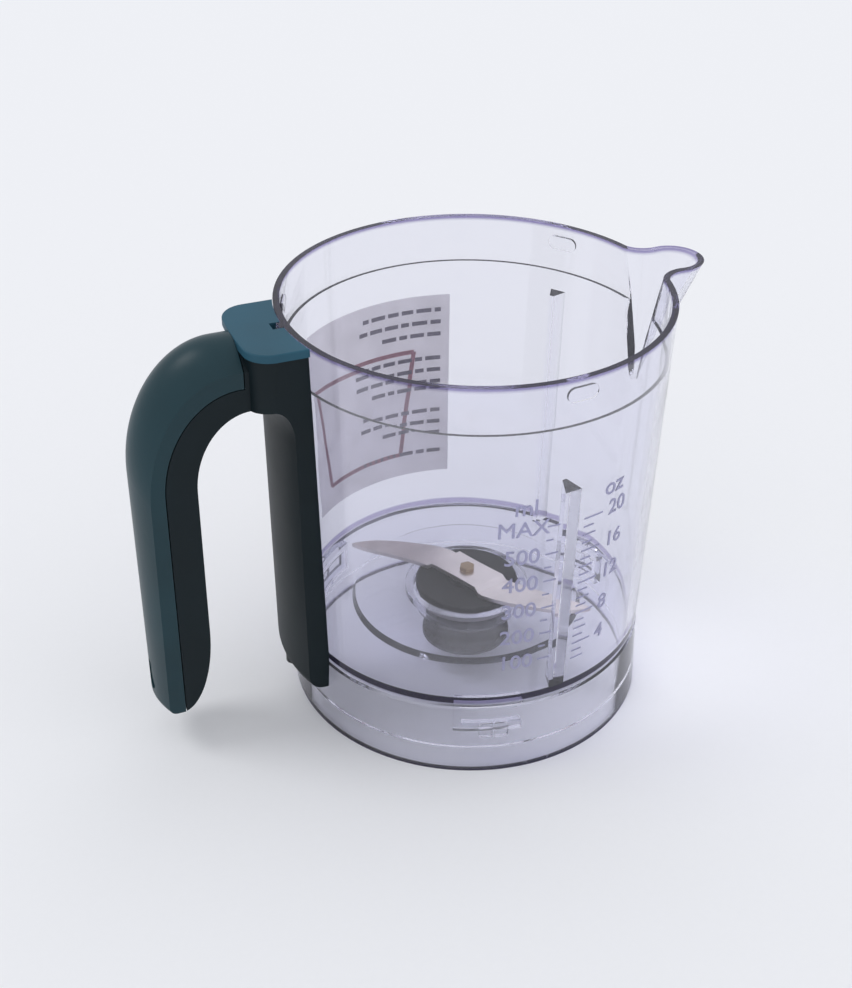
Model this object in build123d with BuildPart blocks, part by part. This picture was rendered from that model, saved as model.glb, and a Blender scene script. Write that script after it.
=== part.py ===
"""Clear blending jug of a baby food maker: vessel with a pouring spout, a two-piece
handle with a lid interlock rod, and a removable blade unit clamped through the floor.

Frame: millimetres, +Z up, origin on the jug's axis in the plane it stands on,
+X towards the spout, the handle on the -X side.
"""

from build123d import *
from math import atan2, cos, degrees, hypot, radians, sin
import os

# ---------------------------------------------------------------- driving dimensions

# Vessel
RIM_R = 61.0              # outer radius at the rim
JUG_H = 139.7             # height of the rim
RIM_WALL = 2.0            # wall at the rim, above the lid ledge
RIM_EDGE_R = 0.7          # rounded edges of the rim
JUNCTION_R = RIM_R - 3.1    # outer radius where the vessel meets the skirt
JUNCTION_Z = 26.4
JUNCTION_STEP = 0.45      # the vessel stands this much proud of the skirt
JUNCTION_SLOPE = 1.2      # depth below the junction at which the step is deepest
JUNCTION_FADE = 2.0       # and at which the skirt's own line begins
FOOT_R = JUNCTION_R + 1.1   # outer radius of the ring it stands on
WALL = 2.7                # vessel wall below the lid ledge
LEDGE_Z = JUG_H - 15.6    # lid ledge, below the rim
FLOOR_Z = 28.0            # gutter of the floor, inside
FLOOR_T = 2.6
PLATEAU_R = 38.0          # raised middle of the floor
PLATEAU_H = 2.0
PLATEAU_RUN = 1.0         # width of the slope round it
CORNER_R = 2.0            # inner corner between floor and wall

# Skirt and its socket for the motor base
SKIRT_BORE_R = FOOT_R - 4.0
SOCKET_R = FOOT_R - 2.8     # counterbore that the motor base's ring enters
SOCKET_L = 8.0
LUG_AZ = (-106.6, 13.4, 133.4)
LUG_SPAN = 22.5           # degrees of wall that each bayonet track covers
LUG_DEPTH = 2.6
LUG_T = 2.6
LUG_ROOT = 1.5            # how deep each track is rooted in the skirt
LUG_Z = 14.0
POCKET_W = 9.2            # moulding pocket on the skirt over each track
POCKET_H = 5.5
POCKET_Z = 16.0
POCKET_DEPTH = 1.1
POCKET_CORNER_R = 1.2
POCKET_BAR_W = 0.8        # bar left standing across the pocket's middle
POCKET_SHIFT = 1.6        # degrees from the track's middle to the pocket's

# Mixing ribs and lid lugs
RIB_AZ = (-83.8, 36.2, 156.2)
RIB_W = 6.9
RIB_DEPTH = 5.0
RIB_TIP_W = 1.4
RIB_TOP_Z = LEDGE_Z - 7.8
RIB_ROOF_DROP = 1.7
RIB_OVERRUN = 1.0         # how far a rib runs on into the floor, and above its roof
PAD_L = 10.0
PAD_H = 4.5
PAD_Z = JUG_H - 5.7
PAD_DEPTH = 1.0

# Spout
SPOUT_TIP_R = RIM_R + 17.3  # from the axis to the end of the spout, at the rim
SPOUT_NOSE_R = 9.8        # its round end in plan
SPOUT_HOLLOW_R = 8.0      # hollow arcs where its sides run into the rim
SPOUT_FOOT_Z = JUG_H - 39.7  # where its straight underside leaves the wall
SPOUT_SEAT = 0.3          # how deep its plan is rooted in the surface it leaves
SPOUT_SINK = 0.1          # how deep its nose starts in that surface, at the foot

# Hub of the floor
COLLAR_BORE_R = 18.3
COLLAR_R = COLLAR_BORE_R + 2.6
COLLAR_H = 4.6            # above the gutter of the floor
COLLAR_EDGE_R = 0.8
NECK_R = 9.0              # the bearing housing's neck, through the floor
HUB_HOLE_R = NECK_R + 0.2
HUB_SKIRT_R = 17.6        # ring under the floor round the retaining nut
HUB_SKIRT_T = 1.4
HUB_SKIRT_L = 3.2

# Handle rails on the jug
RAIL_Y = 9.5
RAIL_ROOT_W = 3.0
RAIL_HEAD_W = 4.4
RAIL_PROUD = 2.2
RAIL_ROOT = 1.2           # how deep the rails are rooted in the wall
RAIL_GAP = 0.15           # between a rail and its groove
RAIL_STOP = 0.3           # between the rails' top and their grooves'
RAIL_OVERRUN = 4.0        # the grooves run on below the post
RAIL_Z0 = 34.0
RAIL_Z1 = JUG_H - 27.7
TAB_W = 3.4               # key at the rim that enters the handle
TAB_PROUD = 1.3
TAB_L = 12.0

# Handle
POST_FOOT_Z = 16.0
POST_FACE_X = RIM_R + 5.4   # finger side of the post, on its middle line
POST_FACE_DROP = 3.1      # how far that face falls back at the post's edges
GRIP_FOOT_Z = 14.4
GRIP_TOP_Z = JUG_H - 0.2    # crown over the bridge
GRIP_BACK_X = RIM_R + 49.0  # crown of the grip
GRIP_EDGE_X = GRIP_BACK_X - 5.0  # the same outline at the loft's outer sections
GRIP_EDGE_TOP_Z = GRIP_TOP_Z - 8.3
GRIP_ARC_A = 28.0         # shoulder of the crown: half axes along x and z
GRIP_ARC_B = 39.5
GRIP_FOOT_R = 4.0
GRIP_EDGE_ARC_A = 26.5    # the same at the loft's outer sections
GRIP_EDGE_ARC_B = 40.2
GRIP_EDGE_FOOT_R = 1.6
GRIP_HALF_W_TOP = 11.8
GRIP_HALF_W_FOOT = 10.0
FINGER_X = GRIP_BACK_X - 19.0  # finger side of the grip, on its middle line
FINGER_X_EDGE = FINGER_X + 3.0
ARCH_Z = JUG_H - 20.3     # underside of the bridge
ARCH_Z_EDGE = ARCH_Z + 1.4
GAP_INNER_A = 17.6        # finger gap: half axes of the arc below the bridge
GAP_INNER_B = 24.0
GAP_POST_A = 6.0          # the same of its corner at the post
GAP_POST_B = 11.0
GAP_BOAT_A = 11.0         # the same of the grip's hollow foot
GAP_BOAT_B = 29.6
POST_LEAN = 1.2           # how much thinner the post is at its foot
POST_CORNER_R = 5.0       # round corner at the post's foot
GAP_BELOW = 5.0           # how far the gap's outline runs on below the handle
SEAM_X = GRIP_BACK_X - 8.4  # parting line between cover and body
SEAM_TOP_Z = GRIP_EDGE_TOP_Z - 3.9
SEAM_ARC_A = 24.1         # its shoulder: half axes along x and z
SEAM_ARC_B = 32.3
SEAM_GAP = 0.3
COVER_END_X = RIM_R + 15.2  # end of the cover beside the top plate
SHELL_T = 2.6             # wall of the hollow grip
HOLLOW_INSET = 0.6        # the flat-sided hollow sits this much clear of the crowned skin
HOLLOW_OUT_A = 22.0       # its shoulders: half axes of the outer and the inner arc
HOLLOW_OUT_B = 36.0
HOLLOW_IN_A = 14.0
HOLLOW_IN_B = 22.0
HOLLOW_FOOT = 9.0         # solid left above the cover screw
HOLLOW_END = 4.0          # solid left at the post
PLATE_T = 2.5
PLATE_X = COVER_END_X + 0.2  # reach of the top plate
PLATE_HALF_W = 17.6
PLATE_CORNER_R = 8.0
PLATE_LIP = 0.8           # how far the plate overhangs the post
PLATE_BOW = 1.2           # bulge of its nose
PLATE_ROOT = 6.0          # how far its plan reaches back before the jug's wall is cut out
PLATE_EDGE_R = 0.5
PEG_R = 1.5
PEG_L = 4.0
PEG_X = RIM_R + 7.6
PEG_Y = 9.0
JUG_GAP = 0.15            # between the handle and the jug's wall

# Cover screw and its plug
SCREW_Z = 25.0
SCREW_SHANK_R = 1.4
SCREW_HEAD_R = 2.6
SCREW_HEAD_T = 1.8
SCREW_L = 11.0
PLUG_L = 11.0
PLUG_W = 6.0
PLUG_T = 2.0
PLUG_GAP = 0.2            # slack of the plug in its pocket, across both sides
PLUG_INSET = 0.3          # how far the plug stands back from the cover's skin
PLUG_SINK = 0.35          # from the crown of the grip to the pocket's face
CROSS_L = 2.6             # cross recess of the screw
CROSS_W = 0.7
CROSS_DEPTH = 0.9

# Interlock rod
ROD_BAR_T = 1.5
ROD_BAR_W = 3.6
ROD_BAR_X = RIM_R + TAB_PROUD + 0.4 + ROD_BAR_T / 2
ROD_R = 1.5
ROD_X = RIM_R + 1.3
ROD_TOP_Z = JUG_H - 2.5
ROD_FOOT_Z = 15.2
ROD_COLLAR_R = ROD_R + 0.9
ROD_COLLAR_T = 2.0
ROD_COLLAR_Z = 44.0
ROD_GAP = 0.2
CHANNEL_R = ROD_COLLAR_R + ROD_GAP
SLOT_W = ROD_BAR_W + 0.5   # slot of the top plate over the rod
SLOT_X = ROD_BAR_X + ROD_BAR_T / 2 + ROD_GAP
GUIDE_Z0 = 16.6
GUIDE_T = 4.4
SPRING_WIRE_R = 0.25
SPRING_R = ROD_R + 0.55
SPRING_TURNS = 9

# Blade unit
SHAFT_R = 3.0
RUN_GAP = 0.04            # radial clearance of the shaft in its bushes and seal
BUSH_R = 5.0
BUSH_WAIST_R = 4.2
SEAL_R = 6.2
SEAL_T = 2.6
GASKET_T = 1.6
FLANGE_R = COLLAR_BORE_R - 1.7
FLANGE_T = 1.8
GASKET_R = FLANGE_R - 0.6
NECK_FOOT_Z = 20.0
UPPER_BUSH_L = 3.2
LOWER_BUSH_L = 3.0
NUT_CORNER_R = 13.8
NUT_SIDES = 8
NUT_FOOT_Z = 11.4
NUT_BORE_R = NECK_R + 2.4
NUT_RIM_R = 14.9
NUT_RIM_T = 1.2
WASHER_T = 1.0
DISC_R = COLLAR_BORE_R - 1.0
DISC_T = 2.2
DISC_RIM_T = 2.3
DISC_EDGE_R = 0.7
DISC_LIFT = 0.5           # between the housing's flange and the spinning disc
SPACER_R = 6.4
SPACER_T = 2.0
BLADE_T = 1.4
BLADE_TIP_R = 44.0
BLADE_FLAT = 9.6          # from the axis to each bend line
BLADE_DROP = 1.6
BLADE_BEND = 1.7
BLADE_DROOP = 1.2
BEND_AZ = 105.0           # direction square to the bend lines
SPIGOT_R = 2.2
SPIGOT_FLAT = 1.7
BOLT_R = 1.2
BOLT_L = 9.0
BOLT_HEAD_AF = 4.6
BOLT_HEAD_T = 1.6
BOLT_EDGE = 0.35
CLIP_R = 4.4
CLIP_T = 0.7
CLIP_GROOVE = 0.5
THRUST_R = 4.6
THRUST_T = 0.45
COUPLING_R = 10.4         # it spins inside the retaining nut
COUPLING_FOOT_Z = 9.6
COUPLING_H = 9.0
COUPLING_EDGE = 0.8
COUPLING_SOCKET_R = 4.0
COUPLING_SOCKET_L = 4.6
COUPLING_SLOT_W = 1.6
COUPLING_SLOT_R = 7.0
INSERT_R = 5.2
INSERT_L = 3.4

# Label
LABEL_AZ = (73.7, 133.0)
LABEL_Z = (41.5, JUG_H - 28.7)
LABEL_T = 0.15

# ---------------------------------------------------------------- worked-out values

INNER_FLOOR_R = JUNCTION_R - WALL
FLOOR_UNDER_Z = FLOOR_Z - FLOOR_T
PLATEAU_Z = FLOOR_Z + PLATEAU_H
COLLAR_Z = FLOOR_Z + COLLAR_H
FLANGE_Z0 = FLOOR_Z + GASKET_T
FLANGE_Z1 = FLANGE_Z0 + FLANGE_T
DISC_Z0 = FLANGE_Z1 + DISC_LIFT
DISC_Z1 = DISC_Z0 + DISC_T
BLADE_Z0 = DISC_Z1 + SPACER_T
BLADE_Z1 = BLADE_Z0 + BLADE_T
WASHER_Z0 = FLOOR_UNDER_Z - WASHER_T
SEAL_Z0 = FLANGE_Z1 - SEAL_T - 0.4
LOWER_BUSH_Z0 = NECK_FOOT_Z + 0.2
WAIST_Z0 = LOWER_BUSH_Z0 + LOWER_BUSH_L
WAIST_Z1 = SEAL_Z0 - UPPER_BUSH_L - 0.2
THRUST_Z0 = LOWER_BUSH_Z0 - THRUST_T - 0.05
CLIP_Z0 = THRUST_Z0 - CLIP_T
COUPLING_TOP_Z = COUPLING_FOOT_Z + COUPLING_H
SHAFT_FOOT_Z = COUPLING_FOOT_Z + COUPLING_SOCKET_L + 0.4
PLATE_Z0 = JUG_H - PLATE_T
SPOUT_ROOT = RIM_WALL * 3   # how far the spout's hollow reaches back inside the wall
LOFT_HALF_W = GRIP_HALF_W_TOP + 1.2  # where the outer sections of the grip's loft stand
CUT_HALF_W = PLATE_HALF_W - PLATE_LIP + 0.7  # the same for the finger gap
EPS = 0.5                 # overrun of cutting tools

os.makedirs("parts", exist_ok=True)


def save(part, label):
    """Label a finished piece and write it as a STEP file of the same name."""
    part.label = label
    export_step(part, f"parts/{label}.step")


def wall_r(z):
    """Outer radius of the vessel at height z."""
    return JUNCTION_R + (RIM_R - JUNCTION_R) * (z - JUNCTION_Z) / (JUG_H - JUNCTION_Z)


def skirt_r(z):
    """Outer radius of the skirt at height z."""
    return FOOT_R + (JUNCTION_R - FOOT_R) * z / JUNCTION_Z


def polar(radius, azimuth):
    """Point in the plan at a radius and an azimuth in degrees."""
    return (radius * cos(radians(azimuth)), radius * sin(radians(azimuth)))


def radial_plane(azimuth, radius, z):
    """Plane square to the radius at an azimuth: its x runs round the jug, its y up."""
    x, y = polar(radius, azimuth)
    return Plane(
        origin=(x, y, z),
        x_dir=(-sin(radians(azimuth)), cos(radians(azimuth)), 0),
        z_dir=(cos(radians(azimuth)), sin(radians(azimuth)), 0),
    )


def hub_ring(outer, inner, z0, z1):
    """Plain ring on the jug's axis between two heights."""
    with BuildPart() as ring:
        with BuildSketch(Plane.XY.offset(z0)):
            Circle(outer)
            Circle(inner, mode=Mode.SUBTRACT)
        extrude(amount=z1 - z0)
    return ring.part


# ---------------------------------------------------------------- jug


def spout_plan(z, surface_r, tip_r, nose_r, hollow_r, root):
    """Plan of the spout at height z: a round nose, and a hollow arc each side to the wall."""
    base_r = surface_r - SPOUT_SEAT
    nose_x = tip_r - nose_r
    reach = base_r + hollow_r
    hollow_x = (reach ** 2 - (nose_r + hollow_r) ** 2 + nose_x ** 2) / (2 * nose_x)
    hollow_y = (reach ** 2 - hollow_x ** 2) ** 0.5
    share = nose_r / (nose_r + hollow_r)
    join_x = nose_x + (hollow_x - nose_x) * share
    join_y = hollow_y * share
    foot_x = hollow_x * base_r / reach
    foot_y = hollow_y * base_r / reach
    root_x = foot_x - root
    with BuildSketch(Plane.XY.offset(z)) as plan:
        with BuildLine():
            ThreePointArc((join_x, join_y), (nose_x + nose_r, 0), (join_x, -join_y))
            RadiusArc((join_x, -join_y), (foot_x, -foot_y), -hollow_r)
            Polyline((foot_x, -foot_y), (root_x, -foot_y), (root_x, foot_y), (foot_x, foot_y))
            RadiusArc((foot_x, foot_y), (join_x, join_y), -hollow_r)
        make_face()
    return plan.sketch


def spout_outer():
    """Outside of the spout: its underside runs straight from the wall up to the nose."""
    foot_tip = wall_r(SPOUT_FOOT_Z) - SPOUT_SINK
    with BuildPart() as body:
        for z, tip in ((SPOUT_FOOT_Z, foot_tip), (JUG_H, SPOUT_TIP_R)):
            add(spout_plan(z, wall_r(z), tip, SPOUT_NOSE_R, SPOUT_HOLLOW_R, SPOUT_SEAT))
        loft()
    return body.part


def spout_channel():
    """Hollow of the spout: it cuts through the rim and the lid ledge, and fades out below."""
    nose_r = SPOUT_NOSE_R - RIM_WALL
    hollow_r = SPOUT_HOLLOW_R + RIM_WALL
    foot_tip = wall_r(SPOUT_FOOT_Z) - WALL - SPOUT_SINK
    rim_tip = SPOUT_TIP_R - RIM_WALL
    top = JUG_H + EPS
    top_tip = rim_tip + (rim_tip - foot_tip) / (JUG_H - SPOUT_FOOT_Z) * EPS
    with BuildPart() as channel:
        for z, wall, tip in ((SPOUT_FOOT_Z, WALL, foot_tip), (top, RIM_WALL, top_tip)):
            add(spout_plan(z, wall_r(z) - wall, tip, nose_r, hollow_r, SPOUT_ROOT))
        loft()
    return channel.part


def rib_plan(z, root_r, tip_r, root_w, tip_w, azimuth):
    """Plan of a rib: a wedge that points at the axis."""
    with BuildSketch(Plane.XY.offset(z).rotated((0, 0, azimuth))) as plan:
        with BuildLine():
            Polyline(
                (root_r, -root_w / 2),
                (tip_r, -tip_w / 2),
                (tip_r, tip_w / 2),
                (root_r, root_w / 2),
                close=True,
            )
        make_face()
    return plan.sketch


def mixing_rib(azimuth):
    """Wedge-shaped rib that follows the wall, with a roof that slopes to one side."""
    roof = degrees(atan2(RIB_ROOF_DROP, RIB_W))
    with BuildPart() as rib:
        for z in (FLOOR_Z - RIB_OVERRUN, RIB_TOP_Z + RIB_OVERRUN):
            root = wall_r(z) - WALL / 3
            tip = wall_r(z) - WALL - RIB_DEPTH
            add(rib_plan(z, root, tip, RIB_W, RIB_TIP_W, azimuth))
        loft()
        top = Plane.XY.offset(RIB_TOP_Z - RIB_ROOF_DROP / 2).rotated((roof, 0, azimuth))
        split(bisect_by=top, keep=Keep.BOTTOM)
    return rib.part


def rail(z0, z1, growth):
    """Two dovetail rails along the jug's wall, or with growth the grooves for them."""
    lean = Vector(-(RIM_R - JUNCTION_R), 0, JUG_H - JUNCTION_Z).normalized()
    foot = Vector(-wall_r(z0), 0, z0)
    plane = Plane(origin=foot, x_dir=(0, 1, 0), z_dir=lean)
    sag = wall_r(z0) - (wall_r(z0) ** 2 - RAIL_Y ** 2) ** 0.5
    root = sag + RAIL_ROOT
    with BuildPart() as rails:
        with BuildSketch(plane):
            for side in (-1, 1):
                y = side * RAIL_Y
                near = RAIL_ROOT_W / 2 + growth
                far = RAIL_HEAD_W / 2 + growth
                out = RAIL_PROUD - sag + growth
                with BuildLine():
                    Polyline(
                        (y - near, -root), (y - far, out), (y + far, out), (y + near, -root),
                        close=True,
                    )
                make_face()
        extrude(amount=(z1 - z0) / lean.Z)
    return rails.part


def bayonet_track(azimuth):
    """L-shaped track inside the skirt: a shelf and the stop at its end."""
    start = azimuth - LUG_SPAN / 2
    with BuildPart() as track:
        with BuildSketch(Plane.XZ.rotated((0, 0, start))):
            with Locations((SKIRT_BORE_R - LUG_DEPTH, LUG_Z)):
                Rectangle(LUG_DEPTH + LUG_ROOT, LUG_T, align=(Align.MIN, Align.MIN))
            with Locations((SKIRT_BORE_R - LUG_DEPTH, FLOOR_UNDER_Z - LUG_T)):
                Rectangle(LUG_DEPTH + LUG_ROOT, LUG_T + EPS, align=(Align.MIN, Align.MIN))
        revolve(axis=Axis.Z, revolution_arc=LUG_SPAN)
        with BuildSketch(Plane.XZ.rotated((0, 0, start))):
            with Locations((SKIRT_BORE_R - LUG_DEPTH, LUG_Z)):
                Rectangle(
                    LUG_DEPTH + LUG_ROOT, FLOOR_UNDER_Z - LUG_Z + EPS, align=(Align.MIN, Align.MIN)
                )
        revolve(axis=Axis.Z, revolution_arc=LUG_T)
    return track.part


def lid_pad(azimuth):
    """Stadium-shaped lug inside the rim that the lid turns under."""
    face_r = RIM_R - RIM_WALL - PAD_DEPTH
    with BuildPart() as pad:
        with BuildSketch(radial_plane(azimuth, face_r, PAD_Z)):
            SlotOverall(PAD_L, PAD_H)
        extrude(amount=PAD_DEPTH + RIM_WALL / 2)
    return pad.part


def skirt_pocket(azimuth):
    """Shallow moulding pocket on the outside of the skirt."""
    radius = skirt_r(POCKET_Z)
    azimuth += POCKET_SHIFT
    with BuildPart() as pocket:
        with BuildSketch(radial_plane(azimuth, radius - POCKET_DEPTH, POCKET_Z)):
            RectangleRounded(POCKET_W, POCKET_H, POCKET_CORNER_R)
            Rectangle(POCKET_BAR_W, POCKET_H, mode=Mode.SUBTRACT)
        extrude(amount=2 * POCKET_DEPTH)
    return pocket.part


def vessel_wall():
    """Turned profile of the jug: wall, lid ledge, floor, hub and skirt."""
    inner_rim = RIM_R - RIM_WALL
    ledge_in = wall_r(LEDGE_Z) - WALL
    with BuildPart() as wall:
        with BuildSketch(Plane.XZ):
            with BuildLine():
                Polyline(
                    (FOOT_R, 0),
                    (skirt_r(JUNCTION_Z - JUNCTION_FADE), JUNCTION_Z - JUNCTION_FADE),
                    (JUNCTION_R - JUNCTION_STEP, JUNCTION_Z - JUNCTION_SLOPE),
                    (JUNCTION_R, JUNCTION_Z),
                    (RIM_R, JUG_H),
                    (inner_rim, JUG_H),
                    (inner_rim, LEDGE_Z),
                    (ledge_in, LEDGE_Z),
                    (INNER_FLOOR_R, FLOOR_Z),
                    (PLATEAU_R + PLATEAU_RUN, FLOOR_Z),
                    (PLATEAU_R, PLATEAU_Z),
                    (COLLAR_R, PLATEAU_Z),
                    (COLLAR_R, COLLAR_Z),
                    (COLLAR_BORE_R, COLLAR_Z),
                    (COLLAR_BORE_R, FLOOR_Z),
                    (HUB_HOLE_R, FLOOR_Z),
                    (HUB_HOLE_R, FLOOR_UNDER_Z),
                    (HUB_SKIRT_R - HUB_SKIRT_T, FLOOR_UNDER_Z),
                    (HUB_SKIRT_R - HUB_SKIRT_T, FLOOR_UNDER_Z - HUB_SKIRT_L),
                    (HUB_SKIRT_R, FLOOR_UNDER_Z - HUB_SKIRT_L),
                    (HUB_SKIRT_R, FLOOR_UNDER_Z),
                    (SKIRT_BORE_R, FLOOR_UNDER_Z),
                    (SKIRT_BORE_R, SOCKET_L),
                    (SOCKET_R, SOCKET_L),
                    (SOCKET_R, 0),
                    close=True,
                )
            make_face()
            corners = [
                v for v in vertices()
                if (abs(v.X - COLLAR_R) < 0.1 or abs(v.X - COLLAR_BORE_R) < 0.1)
                and abs(v.Z - COLLAR_Z) < 0.1
            ]
            fillet(corners, COLLAR_EDGE_R)
            rims = [v for v in vertices() if abs(v.Z - JUG_H) < 0.1]
            fillet(rims, RIM_EDGE_R)
            floor_corner = [
                v for v in vertices()
                if abs(v.X - INNER_FLOOR_R) < 0.1 and abs(v.Z - FLOOR_Z) < 0.1
            ]
            fillet(floor_corner, CORNER_R)
        revolve(axis=Axis.Z)
    return wall.part


with BuildPart() as jug_body:
    add(vessel_wall())
    add(spout_outer())
    for az in RIB_AZ:
        add(mixing_rib(az))
    add(rail(RAIL_Z0, RAIL_Z1, 0))
    with BuildSketch(Plane.XY.offset(JUG_H - TAB_L)):
        with Locations((-(RIM_R - RIM_WALL / 2), 0)):
            Rectangle(TAB_PROUD + RIM_WALL / 2, TAB_W, align=(Align.MAX, Align.CENTER))
    extrude(amount=TAB_L)
    for az in LUG_AZ:
        add(bayonet_track(az))
    add(spout_channel(), mode=Mode.SUBTRACT)
    for az in RIB_AZ:
        add(lid_pad(az))
    for az in LUG_AZ:
        add(skirt_pocket(az), mode=Mode.SUBTRACT)
save(jug_body.part, "jug_body")


# ---------------------------------------------------------------- label

with BuildPart() as jug_label:
    with BuildSketch(Plane.XZ.rotated((0, 0, LABEL_AZ[0]))):
        with BuildLine():
            Polyline(
                (wall_r(LABEL_Z[0]), LABEL_Z[0]),
                (wall_r(LABEL_Z[0]) + LABEL_T, LABEL_Z[0]),
                (wall_r(LABEL_Z[1]) + LABEL_T, LABEL_Z[1]),
                (wall_r(LABEL_Z[1]), LABEL_Z[1]),
                close=True,
            )
        make_face()
    revolve(axis=Axis.Z, revolution_arc=LABEL_AZ[1] - LABEL_AZ[0])
save(jug_label.part, "jug_label")


# ---------------------------------------------------------------- handle


def side_plane(y):
    """Plane of a handle section: its x runs away from the jug, its y up."""
    return Plane(origin=(0, y, 0), x_dir=(-1, 0, 0), z_dir=(0, 1, 0))


def grip_section(y, back_x, top_z, arc_a, arc_b, foot_r):
    """Outline of the handle's outer side at one station across its width."""
    with BuildSketch(side_plane(y)) as section:
        with BuildLine():
            curve = EllipticalCenterArc(
                (back_x - arc_a, top_z - arc_b), arc_a, arc_b, start_angle=0, arc_size=90
            )
            Polyline(curve @ 1, (JUNCTION_R, top_z), (JUNCTION_R, GRIP_FOOT_Z))
            Line((JUNCTION_R, GRIP_FOOT_Z), (back_x - foot_r, GRIP_FOOT_Z))
            RadiusArc(
                (back_x - foot_r, GRIP_FOOT_Z), (back_x, GRIP_FOOT_Z + foot_r), -foot_r
            )
            Line((back_x, GRIP_FOOT_Z + foot_r), curve @ 0)
        make_face()
    return section.sketch


def gap_section(y, finger_x, arch_z, post_x):
    """Outline of the finger gap at one station across its width."""
    foot_x = post_x - POST_LEAN - POST_CORNER_R
    grip_x = finger_x + GAP_BOAT_A
    with BuildSketch(side_plane(y)) as section:
        with BuildLine():
            inner = EllipticalCenterArc(
                (finger_x - GAP_INNER_A, arch_z - GAP_INNER_B),
                GAP_INNER_A,
                GAP_INNER_B,
                start_angle=0,
                arc_size=90,
            )
            corner = EllipticalCenterArc(
                (post_x + GAP_POST_A, arch_z - GAP_POST_B),
                GAP_POST_A,
                GAP_POST_B,
                start_angle=90,
                arc_size=90,
            )
            Line(inner @ 1, corner @ 0)
            foot = EllipticalCenterArc(
                (foot_x, POST_FOOT_Z + POST_CORNER_R),
                POST_CORNER_R,
                POST_CORNER_R,
                start_angle=270,
                arc_size=90,
            )
            Line(corner @ 1, foot @ 1)
            Polyline(
                foot @ 0,
                (foot_x, -GAP_BELOW),
                (grip_x, -GAP_BELOW),
                (grip_x, GRIP_FOOT_Z),
            )
            boat = EllipticalCenterArc(
                (grip_x, GRIP_FOOT_Z + GAP_BOAT_B),
                GAP_BOAT_A,
                GAP_BOAT_B,
                start_angle=180,
                arc_size=90,
            )
            Line(boat @ 0, inner @ 0)
        make_face()
    return section.sketch


def lofted(sections):
    """Solid through a row of sections."""
    with BuildPart() as body:
        for section in sections:
            add(section)
        loft()
    return body.part


def grip_block():
    """The handle's outer side: crowned across its width, with tapering side faces."""
    edge = (GRIP_EDGE_X, GRIP_EDGE_TOP_Z, GRIP_EDGE_ARC_A, GRIP_EDGE_ARC_B, GRIP_EDGE_FOOT_R)
    crown = (GRIP_BACK_X, GRIP_TOP_Z, GRIP_ARC_A, GRIP_ARC_B, GRIP_FOOT_R)
    block = lofted(
        [
            grip_section(-LOFT_HALF_W, *edge),
            grip_section(0, *crown),
            grip_section(LOFT_HALF_W, *edge),
        ]
    )
    height = GRIP_TOP_Z - GRIP_FOOT_Z
    taper = degrees(atan2(GRIP_HALF_W_TOP - GRIP_HALF_W_FOOT, height))
    with BuildPart() as trimmed:
        add(block)
        for side in (-1, 1):
            face = Plane(
                origin=(0, side * GRIP_HALF_W_FOOT, GRIP_FOOT_Z),
                x_dir=(1, 0, 0),
                z_dir=(0, side * cos(radians(taper)), -sin(radians(taper))),
            )
            split(bisect_by=face, keep=Keep.BOTTOM)
    return trimmed.part


def seam_region(offset):
    """Everything on the cover's side of the parting line, moved out by an offset."""
    reach = GRIP_ARC_A
    with BuildPart() as region:
        with BuildSketch(side_plane(-CUT_HALF_W)):
            with BuildLine():
                curve = EllipticalCenterArc(
                    (SEAM_X - SEAM_ARC_A, SEAM_TOP_Z - SEAM_ARC_B),
                    SEAM_ARC_A + offset,
                    SEAM_ARC_B + offset,
                    start_angle=0,
                    arc_size=90,
                )
                Polyline(
                    curve @ 1,
                    (COVER_END_X - EPS, SEAM_TOP_Z + offset),
                    (COVER_END_X - EPS, JUG_H + reach),
                    (SEAM_X + reach, JUG_H + reach),
                    (SEAM_X + reach, -reach),
                    (SEAM_X + offset, -reach),
                    curve @ 0,
                )
            make_face()
        extrude(amount=2 * CUT_HALF_W)
        end = Plane(origin=(-COVER_END_X - offset, 0, 0), x_dir=(0, 1, 0), z_dir=(1, 0, 0))
        split(bisect_by=end, keep=Keep.BOTTOM)
    return region.part


def grip_hollow():
    """Space inside the grip, shared by the cover and the body."""
    low = SCREW_Z + HOLLOW_FOOT
    out_x = GRIP_EDGE_X - SHELL_T + HOLLOW_INSET
    in_x = FINGER_X_EDGE + SHELL_T - HOLLOW_INSET
    top = GRIP_EDGE_TOP_Z - SHELL_T
    floor = ARCH_Z_EDGE + SHELL_T
    end_x = COVER_END_X + HOLLOW_END
    with BuildPart() as hollow:
        with BuildSketch(side_plane(-GRIP_HALF_W_FOOT + SHELL_T)):
            with BuildLine():
                outer = EllipticalCenterArc(
                    (out_x - HOLLOW_OUT_A, top - HOLLOW_OUT_B),
                    HOLLOW_OUT_A,
                    HOLLOW_OUT_B,
                    start_angle=0,
                    arc_size=90,
                )
                inner = EllipticalCenterArc(
                    (in_x - HOLLOW_IN_A, floor - HOLLOW_IN_B),
                    HOLLOW_IN_A,
                    HOLLOW_IN_B,
                    start_angle=0,
                    arc_size=90,
                )
                Polyline(outer @ 1, (end_x, top), (end_x, floor), inner @ 1)
                Polyline(inner @ 0, (in_x, low), (out_x, low), outer @ 0)
            make_face()
        extrude(amount=2 * (GRIP_HALF_W_FOOT - SHELL_T))
    return hollow.part


def plate_plan(z, lip):
    """Plan of the top plate, or with a lip of the post below it."""
    reach = PLATE_X - lip
    half = PLATE_HALF_W - lip
    root = JUNCTION_R - PLATE_ROOT
    with BuildSketch(Plane.XY.offset(z)) as plan:
        with BuildLine():
            side_x = PLATE_BOW - reach
            nose = ThreePointArc((side_x, half), (-reach, 0), (side_x, -half))
            Polyline(nose @ 1, (-root, -half), (-root, half), nose @ 0)
        make_face()
        corners = plan.vertices().sort_by(Axis.X)[:2]
        fillet(corners, PLATE_CORNER_R - lip)
    return plan.sketch


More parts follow.
